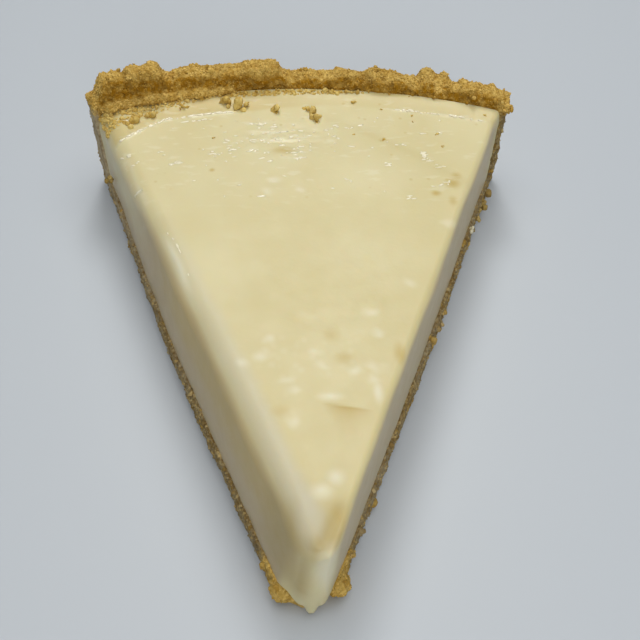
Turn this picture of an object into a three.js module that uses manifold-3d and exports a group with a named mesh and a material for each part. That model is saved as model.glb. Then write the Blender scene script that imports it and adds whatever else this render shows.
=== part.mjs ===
// A slice of key lime pie, as cut: a pressed crumb crust, base layer and upright rim in one piece,
// and the set custard filling that runs through the slice from the rim to its blunt tip.
// Millimetres, +Z up. The tip points to -Y, the rim lies to +Y, and the slice rests on z = 0.

import * as THREE from 'three';
import { mergeVertices } from 'three/addons/utils/BufferGeometryUtils.js';
import { ImprovedNoise } from 'three/addons/math/ImprovedNoise.js';
import Module from 'manifold-3d';

const { degToRad, lerp, clamp, smoothstep, seededRandom } = THREE.MathUtils;

// The slice: just under an eighth of a round pie, with the very point of the wedge gone.
const PIE_RADIUS = 114;
const SLICE_ANGLE = degToRad(44.2);
const TIP_FROM_CENTRE = 9.6;
const ORIGIN_FROM_CENTRE = 61.0;

// The crust.
const BASE_THICKNESS = 5.5;
const BASE_BACK_MARGIN = 0.8;
const BASE_BULGE = { left: 1.2, right: 0.5 };
const TIP_ROUND = 2.6;
const RIM_INNER_RADIUS = 105.9;
const RIM_BOTTOM = 1.6;
const RIM_TOP = 23.6;
const RIM_CREST = 0.75;
const RIM_FRONT_DROP = 0.7;
const RIM_BACK_DROP = 2.2;
const RIM_TOP_SETBACK = 0.9;
const RIM_BACK_LEAN = 2.4;
const CRAG_DEPTH = 0.75;
const CRAG_SIZE = 3.2;
const SIDE_CRAG_DEPTH = 0.4;

// Broken blocks of the rim that stand above the rest: angle from the slice's axis, half width, rise.
const RIM_BLOCKS = [
  { angle: degToRad(-19.5), half: degToRad(1.7), rise: 3.7 },
  { angle: degToRad(-16.2), half: degToRad(1.9), rise: 4.4 },
  { angle: degToRad(-10.1), half: degToRad(4.0), rise: 2.2 },
  { angle: degToRad(-4.2), half: degToRad(2.4), rise: 2.4 },
  { angle: degToRad(5.0), half: degToRad(1.2), rise: 0.8 },
  { angle: degToRad(8.6), half: degToRad(1.6), rise: 1.0 },
  { angle: degToRad(12.4), half: degToRad(2.6), rise: 0.4 },
  { angle: degToRad(19.2), half: degToRad(2.5), rise: 0.8 },
];

// Lumps of pressed crumb that stand out of the crust.
const RIM_LUMPS = 26;
const RIM_LUMP_RADIUS = [0.8, 1.5];
const RIM_LUMP_SUNK = 0.55;
const SIDE_LUMPS = 9;
const SIDE_LUMP_RADIUS = [0.6, 1.0];
const HEAP_LUMPS = 15;
const HEAP_LUMP_RADIUS = [1.4, 2.0];
const HEAP_ANGLES = [degToRad(-20.6), degToRad(-7)];

// The largest lumps: two at the tip, two on the crest of the rim and one at its right end.
const LARGE_LUMPS = [
  { x: -3.4, y: 11.6, z: 2.6, radius: 2.1 },
  { x: 4.5, y: 12.4, z: 2.9, radius: 2.2 },
  { x: 25.4, y: 107.9, z: 24.0, radius: 1.7 },
  { x: 28.9, y: 107.3, z: 24.0, radius: 1.2 },
  { x: 40.7, y: 98.6, z: 22.4, radius: 1.2 },
];
const LUMP_SWELL = 1.1;
const LUMP_UNEVEN = 0.3;
const LUMP_SQUASH = 0.85;
const LUMP_SPREAD = 5;

// The filling.
const FILLING_TOP = 21;
const GAP = 0.35;
const CUT_CLEARANCE = 0.28;
const FILLING_INSET = 0.55;
const LEFT_LEAN = { tip: 2.9, rim: 0.3 };
const RIGHT_LEAN = { tip: -0.4, rim: 0.5 };
const LEFT_ROUND = 3.6;
const RIGHT_ROUND = 1.5;
const TIP_TOP_ROUND = 3.2;
const TIP_FALL = 2.0;
const TIP_FALL_END = 17.5;
const MENISCUS_RISE = 0.7;
const MENISCUS_WIDTH = 2.6;
const FACE_WAVE = 0.18;

// Marks in the top of the filling: place from the pie's centre, half lengths along x and y, rise.
const TOP_MARKS = [
  { x: 5.5, y: 27.6, acrossX: 6.0, alongY: 3.4, rise: -0.7 },
  { x: -1.5, y: 36.5, acrossX: 7.5, alongY: 3.2, rise: 0.45 },
  { x: 9.0, y: 35.5, acrossX: 3.2, alongY: 2.2, rise: 0.5 },
  { x: 3.8, y: 19.2, acrossX: 1.9, alongY: 2.0, rise: 0.7 },
  { x: 3.6, y: 13.8, acrossX: 1.8, alongY: 1.5, rise: -1.1 },
  { x: -1.0, y: 90.5, acrossX: 11.0, alongY: 3.6, rise: -0.3 },
];

// A run of filling down the blunt tip between the two lumps of crust, and its foot.
const RUN = { x: 0.7, y: 10.8, z: 7.4, acrossX: 3.5, alongY: 1.9, halfHeight: 4.8 };
const RUN_FOOT = { x: 0.6, y: 9.5, z: 2.3, acrossX: 1.0, alongY: 1.2, halfHeight: 2.6 };
const RUN_LOWEST = 0.4;

// Crumbs that fell on the filling along the rim: place from the pie's centre and radius.
const FALLEN_CRUMBS = [
  { x: -14.2, y: 101.6, radius: 1.1 },
  { x: -11.6, y: 101.5, radius: 1.0 },
  { x: -4.6, y: 99.8, radius: 0.9 },
  { x: 1.7, y: 99.6, radius: 1.0 },
  { x: 3.1, y: 97.0, radius: 0.9 },
  { x: -32.2, y: 95.4, radius: 1.2 },
  { x: -28.6, y: 98.3, radius: 1.3 },
  { x: -22.5, y: 100.2, radius: 1.1 },
];

const HALF_ANGLE = SLICE_ANGLE / 2;
const ROUND_STEPS = 3;

const wasm = await Module();
wasm.setup();
const noise = new ImprovedNoise();
seededRandom(29);

// Uneven relief from -1 to 1 with bumps about `size` across.
function relief(x, y, z, size) {
  const coarse = noise.noise(x / size, y / size, z / size);
  const fine = noise.noise(x / size * 2.3 + 7, y / size * 2.3 + 3, z / size * 2.3 + 5);
  return coarse + 0.5 * fine;
}

function drawBetween([low, high]) {
  return lerp(low, high, seededRandom());
}

function toSolid(geometry) {
  geometry.deleteAttribute('normal');
  geometry.deleteAttribute('uv');
  const merged = mergeVertices(geometry, 1e-4);
  return new wasm.Manifold(new wasm.Mesh({
    numProp: 3,
    vertProperties: new Float32Array(merged.getAttribute('position').array),
    triVerts: new Uint32Array(merged.getIndex().array),
  }));
}

function toGeometry(solid) {
  const mesh = solid.getMesh();
  const geometry = new THREE.BufferGeometry();
  geometry.setAttribute('position', new THREE.BufferAttribute(mesh.vertProperties, 3));
  geometry.setIndex(new THREE.BufferAttribute(mesh.triVerts, 1));
  geometry.computeVertexNormals();
  return geometry;
}

// A closed block of columns by rows by levels, each grid point moved to where `place` puts it.
function gridBlock(columns, rows, levels, place) {
  const geometry = new THREE.BoxGeometry(columns, rows, levels, columns, rows, levels);
  geometry.translate(columns / 2, rows / 2, levels / 2);
  const points = geometry.getAttribute('position');
  const point = new THREE.Vector3();
  for (let n = 0; n < points.count; n++) {
    point.fromBufferAttribute(points, n).round();
    const placed = place(point.x, point.y, point.z);
    points.setXYZ(n, placed.x, placed.y, placed.z);
  }
  return toSolid(geometry);
}

// Where grid line `index` of `count` falls on a span, with close steps in the rounding at each end.
function spaced(index, count, span, startRound, endRound) {
  if (index <= ROUND_STEPS) {
    return startRound * index / ROUND_STEPS;
  }
  if (index >= count - ROUND_STEPS) {
    return span - endRound * (count - index) / ROUND_STEPS;
  }
  const share = (index - ROUND_STEPS) / (count - 2 * ROUND_STEPS);
  return lerp(startRound, span - endRound, share);
}

// Half the width of the wedge at distance y from the centre, each cut face drawn in by `inset`.
function halfWidth(y, inset) {
  return y * Math.tan(HALF_ANGLE) - inset / Math.cos(HALF_ANGLE);
}

// How far the base bulges past the straight cut, for u from -1 (left cut) to 1 (right cut) and t from
// 0 (tip) to 1 (back arc).
function baseBulge(u, t) {
  const most = u < 0 ? BASE_BULGE.left : BASE_BULGE.right;
  return u * most * Math.pow(Math.sin(Math.PI * t), 2);
}

// Plan position for u from -1 (left cut) to 1 (right cut) and t from 0 (tip) to 1 (back arc).
function planPoint(u, t, tipY, backRadius, inset) {
  const backAngle = u * (HALF_ANGLE - Math.asin(inset / backRadius));
  const frontX = u * halfWidth(tipY, inset);
  return {
    x: lerp(frontX, backRadius * Math.sin(backAngle), t),
    y: lerp(tipY, backRadius * Math.cos(backAngle), t),
  };
}

// Moves a point of the corner zones of a box onto round edges; each value runs -1 to 1 over a zone.
function roundOff(across, along, up) {
  const largest = Math.max(Math.abs(across), Math.abs(along), Math.abs(up));
  const length = Math.hypot(across, along, up);
  return length > 0 ? largest / length : 1;
}

function lump({ x, y, z, radius }) {
  const geometry = new THREE.IcosahedronGeometry(radius, 0);
  const points = geometry.getAttribute('position');
  for (let n = 0; n < points.count; n++) {
    const point = new THREE.Vector3().fromBufferAttribute(points, n);
    const uneven = relief(point.x + x * LUMP_SPREAD, point.y + y * LUMP_SPREAD, point.z, radius);
    point.multiplyScalar(LUMP_SWELL + LUMP_UNEVEN * uneven);
    points.setXYZ(n, point.x + x, point.y + y, point.z * LUMP_SQUASH + z);
  }
  return toSolid(geometry);
}

// How far the broken blocks lift the rim's top at an angle.
function blockRise(angle) {
  const rises = RIM_BLOCKS.map((block) => {
    const away = Math.abs(angle - block.angle) / block.half;
    return block.rise * (1 - smoothstep(away, 0.75, 1.15));
  });
  return Math.max(...rises);
}

function crustBase() {
  const columns = 6;
  const rows = 46;
  const levels = 3;
  const backRadius = PIE_RADIUS - BASE_BACK_MARGIN;
  return gridBlock(columns, rows, levels, (i, j, k) => {
    const u = i / columns * 2 - 1;
    const t = j / rows;
    const z = BASE_THICKNESS * k / levels;
    const plan = planPoint(u, t, TIP_FROM_CENTRE, backRadius, 0);
    const roughness = SIDE_CRAG_DEPTH * relief(plan.x, plan.y, z, CRAG_SIZE);
    const side = baseBulge(u, t) + (Math.abs(u) === 1 ? Math.sign(u) * roughness : 0);
    const tip = t === 0 ? TIP_ROUND * u * u + roughness : 0;
    return { x: plan.x + side, y: plan.y + tip, z };
  });
}

function crustRim() {
  const columns = 54;
  const rows = 4;
  const levels = 7;
  return gridBlock(columns, rows, levels, (i, j, k) => {
    const u = i / columns * 2 - 1;
    const v = j / rows;
    const w = k / levels;
    const angle = u * HALF_ANGLE;
    const before = clamp(1 - v / RIM_CREST, 0, 1);
    const behind = clamp((v - RIM_CREST) / (1 - RIM_CREST), 0, 1);
    const drop = RIM_FRONT_DROP * before * before + RIM_BACK_DROP * behind * behind;
    const height = lerp(RIM_BOTTOM, RIM_TOP + blockRise(angle) - drop, w);
    const above = smoothstep(height, FILLING_TOP - 1, RIM_TOP);
    const inner = RIM_INNER_RADIUS + RIM_TOP_SETBACK * above;
    const outer = PIE_RADIUS - RIM_BACK_LEAN * w * w;
    const radius = lerp(inner, outer, v);
    const x = radius * Math.sin(angle);
    const y = radius * Math.cos(angle);
    const rough = CRAG_DEPTH * relief(x, y, height, CRAG_SIZE);
    const lift = w === 1 ? rough : 0;
    const push = (v === 1 ? rough - 0.4 : 0) + (v === 0 ? above * rough : 0);
    const end = Math.abs(u) === 1 ? Math.sign(u) * SIDE_CRAG_DEPTH * rough : 0;
    return {
      x: x + push * Math.sin(angle) + end,
      y: y + push * Math.cos(angle),
      z: height + lift,
    };
  });
}

// Lumps spread evenly round the top of the rim, each moved a little from its place.
function rimLumps() {
  return Array.from({ length: RIM_LUMPS }, (_, n) => {
    const share = (n + 0.5 + (seededRandom() - 0.5) * 0.7) / RIM_LUMPS;
    const angle = lerp(-0.9, 0.95, share) * HALF_ANGLE;
    const radius = drawBetween(RIM_LUMP_RADIUS);
    const distance = drawBetween([RIM_INNER_RADIUS + 1.4, PIE_RADIUS - 3.6]);
    const z = RIM_TOP + blockRise(angle) - RIM_LUMP_SUNK * radius;
    return lump({ x: distance * Math.sin(angle), y: distance * Math.cos(angle), z, radius });
  });
}

// Lumps heaped against the left half of the rim's inner wall, lower towards the middle.
function heapLumps() {
  return Array.from({ length: HEAP_LUMPS }, (_, n) => {
    const share = (n + 0.5) / HEAP_LUMPS;
    const angle = lerp(...HEAP_ANGLES, share);
    const radius = lerp(1, 0.75, share) * drawBetween(HEAP_LUMP_RADIUS);
    const distance = RIM_INNER_RADIUS + 0.1;
    const z = FILLING_TOP + MENISCUS_RISE + 0.2 * radius;
    return lump({ x: distance * Math.sin(angle), y: distance * Math.cos(angle), z, radius });
  });
}

// Lumps along the base's two cut edges, just proud of the filling's faces.
function sideLumps() {
  const lumps = [];
  for (const side of [-1, 1]) {
    for (let n = 0; n < SIDE_LUMPS; n++) {
      const share = (n + 0.5 + (seededRandom() - 0.5) * 0.8) / SIDE_LUMPS;
      const radius = drawBetween(SIDE_LUMP_RADIUS);
      const distance = lerp(20, RIM_INNER_RADIUS, share);
      const edge = halfWidth(distance, 0) - 0.5 * radius;
      const x = side * edge + baseBulge(side, distance / PIE_RADIUS);
      lumps.push(lump({ x, y: distance, z: drawBetween([1.6, BASE_THICKNESS - 1.7]), radius }));
    }
  }
  return lumps;
}

// Rise or fall of the filling's top at a place, from the marks in it and the climb at the rim.
function topRelief(x, y) {
  const toRim = RIM_INNER_RADIUS - Math.hypot(x, y);
  const climb = MENISCUS_RISE * Math.exp(-toRim / MENISCUS_WIDTH);
  const marks = TOP_MARKS.reduce((rise, mark) => {
    const away = Math.hypot((x - mark.x) / mark.acrossX, (y - mark.y) / mark.alongY);
    return rise + mark.rise * (1 - smoothstep(away, 0.35, 1.0));
  }, 0);
  return climb + marks + FACE_WAVE * relief(x, y, 0, 9);
}

// The filling's block, all faces moved out by `grow`.
function fillingBlock(grow) {
  const columns = 16;
  const rows = 32;
  const levels = 7;
  const bottom = BASE_THICKNESS + GAP - grow;
  const tipY = TIP_FROM_CENTRE - grow;
  const backRadius = RIM_INNER_RADIUS - GAP + grow;
  const inset = FILLING_INSET - grow;
  const length = backRadius - tipY;
  return gridBlock(columns, rows, levels, (i, j, k) => {
    const along = spaced(j, rows, length, TIP_TOP_ROUND, 1);
    const width = 2 * halfWidth(tipY + along, inset);
    const across = spaced(i, columns, width, LEFT_ROUND, RIGHT_ROUND);
    const edgeRound = lerp(LEFT_ROUND, RIGHT_ROUND, smoothstep(across / width, 0.2, 0.8));
    const height = spaced(k, levels, FILLING_TOP + grow - bottom, 1, edgeRound) + bottom;
    const start = FILLING_TOP + grow - edgeRound;

    const zoneLeft = Math.min(0, across / LEFT_ROUND - 1);
    const zoneRight = Math.max(0, 1 - (width - across) / RIGHT_ROUND);
    const zoneTip = Math.min(0, along / TIP_TOP_ROUND - 1);
    const zoneUp = Math.max(0, (height - start) / edgeRound);
    const keep = roundOff(zoneLeft + zoneRight, zoneTip, zoneUp);
    const lateral = across + LEFT_ROUND * zoneLeft * (keep - 1) + RIGHT_ROUND * zoneRight * (keep - 1);
    const distance = along + TIP_TOP_ROUND * zoneTip * (keep - 1);
    const z = height + edgeRound * zoneUp * (keep - 1);

    const u = lateral / width * 2 - 1;
    const plan = planPoint(u, distance / length, tipY, backRadius, inset);
    const risen = clamp((z - bottom) / (FILLING_TOP - bottom), 0, 1);
    const toBack = 1 - smoothstep(distance, length - 4, length);
    const bulge = (1 - risen) * baseBulge(u, distance / length);
    const leftLean = lerp(LEFT_LEAN.tip, LEFT_LEAN.rim, distance / length);
    const rightLean = lerp(RIGHT_LEAN.tip, RIGHT_LEAN.rim, distance / length);
    const lean = bulge + risen * toBack * lerp(leftLean, -rightLean, (u + 1) / 2);
    const wave = toBack * FACE_WAVE * u * u * u * relief(plan.x, plan.y, z, 8);
    const top = zoneUp * topRelief(plan.x, plan.y);
    const fall = TIP_FALL * risen * (1 - smoothstep(plan.y, TIP_FROM_CENTRE, TIP_FALL_END));
    return { x: plan.x + lean + wave, y: plan.y, z: z + top - fall };
  });
}

function tipRun(grow) {
  const [run, foot] = [RUN, RUN_FOOT].map((part) => {
    const geometry = new THREE.SphereGeometry(1, 16, 12);
    geometry.scale(part.acrossX + grow, part.alongY + grow, part.halfHeight + grow);
    geometry.translate(part.x, part.y, part.z);
    return toSolid(geometry);
  });
  return run.add(foot);
}

// A plain box from `low` upwards that holds the whole slice.
function spaceAbove(low) {
  const side = 3 * PIE_RADIUS;
  const geometry = new THREE.BoxGeometry(side, side, side);
  geometry.translate(0, 0, low + side / 2);
  return toSolid(geometry);
}

function makeFilling() {
  const crumbs = FALLEN_CRUMBS.map((crumb) => lump({ ...crumb, z: FILLING_TOP + 0.35 * crumb.radius }));
  const run = tipRun(0).intersect(spaceAbove(RUN_LOWEST));
  return crumbs.reduce((solid, crumb) => solid.add(crumb), fillingBlock(0).add(run));
}

function makeCrust() {
  const lumps = [...rimLumps(), ...heapLumps(), ...sideLumps(), ...LARGE_LUMPS.map(lump)];
  const whole = lumps.reduce((solid, piece) => solid.add(piece), crustBase().add(crustRim()));
  return whole
    .subtract(fillingBlock(CUT_CLEARANCE))
    .subtract(tipRun(CUT_CLEARANCE))
    .intersect(spaceAbove(0));
}

function namedMesh(name, solid, colour, roughness) {
  const material = new THREE.MeshStandardMaterial({ color: colour, roughness, metalness: 0 });
  const mesh = new THREE.Mesh(toGeometry(solid), material);
  mesh.name = name;
  return mesh;
}

const slice = new THREE.Group();
slice.add(namedMesh('crust', makeCrust(), 0xb08c4c, 0.9));
slice.add(namedMesh('filling', makeFilling(), 0xe4d8a8, 0.45));
slice.position.y = -ORIGIN_FROM_CENTRE;

export default slice;
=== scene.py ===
"""Looks for a cut slice of key lime pie: a pressed crumb crust, set custard and the crumbs that came loose.

Shapes are worked out in millimetres in the pie's own plan, with the pie's centre at x = y = 0 and the slice
running along +Y, and are moved into the frame in metres at the end.
"""

import math

import bmesh
import bpy
import numpy as np
from mathutils import Matrix, Vector
from mathutils.bvhtree import BVHTree


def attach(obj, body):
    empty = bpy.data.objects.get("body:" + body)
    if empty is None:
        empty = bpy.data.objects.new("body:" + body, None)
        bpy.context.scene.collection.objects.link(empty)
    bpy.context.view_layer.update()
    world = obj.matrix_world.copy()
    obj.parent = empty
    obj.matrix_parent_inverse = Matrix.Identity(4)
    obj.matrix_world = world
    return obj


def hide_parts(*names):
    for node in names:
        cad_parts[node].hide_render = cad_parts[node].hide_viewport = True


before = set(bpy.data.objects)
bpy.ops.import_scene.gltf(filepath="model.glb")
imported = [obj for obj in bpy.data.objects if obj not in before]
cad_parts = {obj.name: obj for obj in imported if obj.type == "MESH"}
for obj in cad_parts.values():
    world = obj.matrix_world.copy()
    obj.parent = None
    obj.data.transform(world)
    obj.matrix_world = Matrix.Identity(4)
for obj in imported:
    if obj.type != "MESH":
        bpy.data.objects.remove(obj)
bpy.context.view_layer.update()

MM = 0.001

# The slice, as in the solids. Pairs are for the left and right cut, or for a cut's ends at tip and rim.
HALF_ANGLE = math.radians(22.1)
TIP_Y = 9.6
ORIGIN_Y = 61.0
BASE_THICKNESS = 5.5
BASE_BULGE = (1.2, 0.5)
RIM_RADIUS = 105.9
FILLING_TOP = 21.0
FILLING_INSET = 0.55
LEFT_LEAN = (2.9, 0.3)
RIGHT_LEAN = (-0.4, 0.5)
LEFT_ROUND = 3.6
RIGHT_ROUND = 1.5
TIP_TOP_ROUND = 3.2
TIP_FALL = 2.0
TIP_FALL_END = 17.5
MENISCUS_RISE = 0.7
MENISCUS_WIDTH = 2.6
RUN_X = 0.7
RUN_HALF_WIDTH = 4.0
RUN_DEPTH = 2.4
RUN_LOWEST = 2.6
DROP_X = 0.6
DROP_HALF_WIDTH = 1.2
DROP_LOWEST = 0.4

# The filling sinks this far into the crust, so that no gap shows between them.
BEDDED = 0.3
FILLING_BOTTOM = BASE_THICKNESS - BEDDED
FILLING_BACK = RIM_RADIUS + BEDDED
FILLING_LENGTH = FILLING_BACK - TIP_Y

# The cut faces: how far from the rim their lean ends, their waves, and their ripples drawn out along the cut.
LEAN_END = 4
CUT_WAVE = 0.20
CUT_RIPPLE = 0.06
CUT_DRAG = (1.0, 0.35, 1.0)

# How fine the surfaces are. An edge that isn't rounded has close steps as far in as PLAIN_EDGE.
FILLING_GRID = (220, 296, 26)
FILLING_ROUND_STEPS = (14, 14, 10)
FILLING_FLOOR_ROWS = 14
PLAIN_EDGE = 1.0
CRUST_VOXEL = 0.6
GRAIN_DETAIL = 1
CRUMB_DETAIL = 2

# Grainy relief of the crust, coarse to fine: breadth, depth, how much painted shade it lays in the seams, and
# a seed.
CRUST_RELIEF = [(2.4, 0.28, 0.8, 61), (0.95, 0.34, 1.0, 65), (0.55, 0.20, 0.9, 67)]
RELIEF_MIDDLE = 0.45
RELIEF_SINK = 0.06
SEAM_SHADE_SHARE = 0.35

# How high the rim's wall is browned, by the angle from the slice's middle in degrees.
BROWNED_ANGLES = (-22, -15, -9, -3)
BROWNED_TOPS = (27.0, 26.3, 25.3, 24.3)

# Shades of the crust, and how much of each its crumbs take on, at least and at most. The seam is painted
# shade.
CRUMB_LAYERS = {
    "browned": (0.5, 1.0), "cut": (0.5, 1.0), "smeared": (0.0, 1.0), "coated": (0.5, 1.0), "seam": (0.2, 0.7),
}

# What sticks to the crust: piece, density, how many, usual radius, share of it sunk, detail.
STUCK_ON_CRUST = [
    ("rim_grains", "rim_density", 9800, 0.15, 0.15, GRAIN_DETAIL),
    ("rim_crumbs", "foot_density", 260, 0.45, 0.35, CRUMB_DETAIL),
    ("cut_grains", "cut_density", 3600, 0.23, 0.5, GRAIN_DETAIL),
    ("cut_crumbs", "lump_density", 44, 0.72, 0.40, CRUMB_DETAIL),
]
CRUMB_SPREAD = 0.38
CRUMB_SIZE_LIMITS = (0.5, 2.2)
GRAINS_IN_CRUMB = 5
BARE_CRUMBS = 0.75

# Fine crumbs along the foot of the rim: how many, usual radius and its spread, angles, reach from the rim.
FOOT_CRUMBS = 560
FOOT_CRUMB_SIZE = 0.25
FOOT_CRUMB_SPREAD = 0.40
FOOT_ANGLES = (-21.4, 7.0)
FOOT_REACH = (5.0, 1.0)

# Crumbs that lie on the filling one by one: place and radius.
FALLEN_CRUMBS = [
    (-14.2, 101.6, 1.45), (-11.6, 101.5, 1.35), (-4.6, 99.8, 1.1), (1.7, 99.6, 1.15), (3.1, 97.0, 1.0),
    (-32.2, 95.4, 1.1), (-28.6, 98.3, 1.2), (-22.5, 100.2, 0.95), (10.8, 102.6, 0.5), (15.9, 100.2, 0.28),
    (22.0, 98.3, 0.32), (21.7, 96.3, 0.26), (26.1, 92.5, 0.38), (15.5, 90.7, 0.42), (10.2, 92.2, 0.28),
    (26.7, 88.8, 0.28), (36.0, 97.8, 0.36), (-16.4, 91.4, 0.28),
]

# Crumbs, and a curd of custard, that stick to the cuts: place and radius. The crumbs are shaded like a cut.
STUCK_CRUMBS = [(-37.7, 92.1, 10.3, 0.9), (37.8, 91.6, 2.8, 0.9), (35.6, 86.6, 4.6, 0.6)]
STUCK_CURDS = [(33.5, 82.3, 5.8, 0.85)]
STUCK_CRUMB_CUT = 0.6

# The film by the rim, left and right: width, how much wider it gets for each degree past an angle, and the
# angles between which left changes to right.
FILM_WIDTH = (5.5, 4.0)
FILM_WIDENING = (0.66, -0.1)
FILM_BEND = (15, 13)
FILM_MIDDLE = (-5, 5)

# Marks in the filling's top: places in the pie's plan. The tip's blobs and knobs also have half lengths.
PALE_CURDS = [
    (10.1, 47.7), (11.4, 43.7), (-4.9, 42.4), (-6.0, 40.0), (-9.0, 38.7), (1.3, 40.2), (3.0, 37.8),
    (7.5, 37.2), (10.6, 37.7), (9.9, 35.2), (-3.1, 35.2), (-1.7, 33.1), (-2.0, 28.6), (-5.9, 76.3),
    (-0.2, 76.8), (-4.5, 79.2), (25.4, 68.0), (16.8, 53.7),
]
TORN_PATCH = (-3.5, 91.0)
GROOVE_START = (3.7, 98.2)
CREASE_LEFT = 2.2
CREASE_LENGTH = 7.6
TIP_TROUGH = ((4.4, 14.9), (1.0, 9.6))
TIP_BLOBS = [((4.0, 14.4), (1.6, 2.4)), ((1.6, 11.0), (1.9, 1.7))]
TIP_KNOBS = [((3.9, 19.4), (1.9, 1.9)), ((2.0, 17.4), (2.4, 1.9))]

# Stains: place, half lengths across and along, strength.
STAINS = [
    (-3.1, 87.8, 3.4, 1.9, 0.6), (27.2, 78.2, 2.0, 2.2, 0.85), (23.9, 75.5, 1.3, 1.1, 0.9),
    (26.6, 73.5, 1.2, 1.9, 0.6), (28.2, 80.4, 1.4, 1.6, 0.6), (15.5, 90.7, 1.2, 0.9, 0.4),
    (4.2, 43.4, 2.0, 2.0, 0.35), (5.9, 39.2, 2.2, 1.8, 0.4), (14.2, 39.9, 1.4, 3.0, 0.6),
    (-3.4, 29.9, 2.2, 1.6, 0.3), (-16.1, 82.1, 0.8, 0.7, 0.9),
]

# Beads of moisture: half length, its spread and limits, and limits of the half width and height.
BEAD_LENGTH = 0.32
BEAD_LENGTH_SPREAD = 0.5
BEAD_LENGTHS = (0.15, 1.3)
BEAD_WIDTHS = (0.12, 0.26)
BEAD_HEIGHTS = (0.06, 0.10)

# Beads along the film: start and end angle, how many, how much further in. Then places or numbers of others.
FILM_BEADS = [(-20.6, -7.5, 50, 0.0), (-13.6, -9.4, 12, 1.5), (10.5, 21.0, 26, 0.0)]
WET_BEADS = [
    (-9.5, 95.7), (-7.5, 95.6), (-5.0, 94.4), (-3.9, 91.0), (-6.5, 90.5), (-9.0, 87.8), (-12.9, 88.1),
    (-15.5, 86.6), (-0.3, 85.1), (-25.9, 87.1), (-30.4, 84.1), (-28.7, 77.2), (-32.3, 86.7), (7.0, 94.9),
    (9.6, 94.3), (18.7, 89.4), (23.4, 85.0), (25.3, 83.3), (26.0, 78.5), (24.6, 77.4), (19.0, 74.5),
    (16.2, 83.6), (8.4, 79.1), (-24.4, 83.9), (-22.2, 84.2),
]
LARGE_WET_BEAD = (23.0, 86.2)
WIDE_END_BEADS = 36
LEFT_EDGE_BEADS = 6

# Colours.
CREAM = (0.70, 0.618, 0.33)
CREAM_LIGHT = (0.74, 0.668, 0.385)
# Pale custard, and the same colour laid on as painted highlights.
CREAM_PALE_AND_HIGHLIGHT = (0.84, 0.80, 0.60)
# Yellow custard in the crease and the tip's trough, darker as partly painted shade.
CREAM_YELLOW_AND_SHADE = (0.55, 0.41, 0.13)
# Stains, and painted shade towards the tip and along the right groove.
CREAM_STAIN_AND_SHADE = (0.56, 0.41, 0.11)
# The cut faces: pinker, and darker as partly painted shade.
CREAM_CUT = (0.57, 0.465, 0.29)
# Painted shade under the left cut's top edge.
CREAM_WARM_SHADE = (0.595, 0.46, 0.20)
# Painted shade on the tip's left and top.
CREAM_TIP_SHADE = (0.48, 0.375, 0.165)
# A painted greyish highlight along the left edge and on a bank by the tip.
CREAM_GREY_HIGHLIGHT = (0.65, 0.62, 0.47)
CREAM_SMEAR = (0.37, 0.32, 0.21)
# Near white: painted highlights on the beads of moisture.
CREAM_WET_HIGHLIGHT = (0.95, 0.885, 0.66)
CRUMB_LIGHT = (0.78, 0.545, 0.155)
CRUMB_MIDDLE = (0.54, 0.345, 0.07)
CRUMB_DARK = (0.28, 0.15, 0.025)
CRUMB_BROWNED = (0.41, 0.20, 0.005)
CRUMB_CUT_DARK = (0.16, 0.115, 0.05)
CRUMB_CUT_LIGHT = (0.56, 0.45, 0.24)
# Painted shade in the seams between grains.
CRUMB_SEAM_SHADE = (0.17, 0.09, 0.012)
DAMP_LIGHT = (0.82, 0.64, 0.22)
DAMP_MIDDLE = (0.70, 0.50, 0.13)
DAMP_DARK = (0.56, 0.38, 0.09)
FLOOR_PALE = (0.54, 0.585, 0.63)
CUSTARD_IOR = 1.42

# The camera that took the photo: focal length in pixels of a 640 pixel frame, place in the pie's plan.
FRAME_PIXELS = 640
FOCAL_PIXELS = 800.0
SENSOR_WIDTH = 36.0
CAMERA_TARGET = (3.34, 64.0, 0.0)
CAMERA_DISTANCE = 149.9
CAMERA_ELEVATION = math.radians(50.02)
CAMERA_AZIMUTH = math.radians(-2.68)
CAMERA_ROLL = math.radians(1.53)
NEAREST_SEEN = 0.005

# Lights, all aimed at the origin: name, place and diameter in metres, power, colour.
LIGHTS = [
    ("soft", (0.06, 0.06, 0.75), 0.90, 4.25, (1.0, 0.985, 0.965)),
    ("key", (0.0, 0.40, 0.55), 0.20, 1.15, (1.0, 0.985, 0.96)),
    ("fill", (0.03, -0.60, 0.30), 0.40, 1.2, (1.0, 0.985, 0.97)),
]
SKY_COLOUR = (1.0, 0.98, 0.96)
SKY_STRENGTH = 0.04

# The floor and the wall that it sweeps up into, in millimetres.
FLOOR_MIDDLE = 60.0
FLOOR_FLAT = 900.0
FLOOR_SWEEP = 500.0
WALL_TOP = 1500.0
FLOOR_SIDES = 96
SWEEP_RINGS = 13

# Numbers that mix a cell's place and a seed into a repeatable random number.
CELL_FACTORS = (73856093, 19349663, 83492791)
SEED_FACTOR = 40503
MIX_STEPS = ((13, 1274126177), (15, 668265263))
LAST_SHIFT = 12
KEPT_BITS = 0x7FFFFFFF
RESULT_BITS = 0xFFFFF

rng = np.random.default_rng(41)


def to_frame(points):
    """Millimetres in the pie's plan to metres in the frame."""
    return (np.asarray(points, float) - [0, ORIGIN_Y, 0]) * MM


def to_plan(points):
    """Metres in the frame to millimetres in the pie's plan."""
    return np.asarray(points, float) / MM + [0, ORIGIN_Y, 0]


def polar(radius, degrees):
    """Places at a distance from the pie's centre and an angle from the slice's middle."""
    angle = np.radians(degrees)
    return np.stack([radius * np.sin(angle), radius * np.cos(angle)], axis=-1)


def lerp(low, high, share):
    return low + (high - low) * share


def smoothstep(value, low, high):
    share = np.clip((value - low) / (high - low), 0, 1)
    return share * share * (3 - 2 * share)


def falloff(value, low, high):
    return 1 - smoothstep(value, low, high)


# Noise

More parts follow.
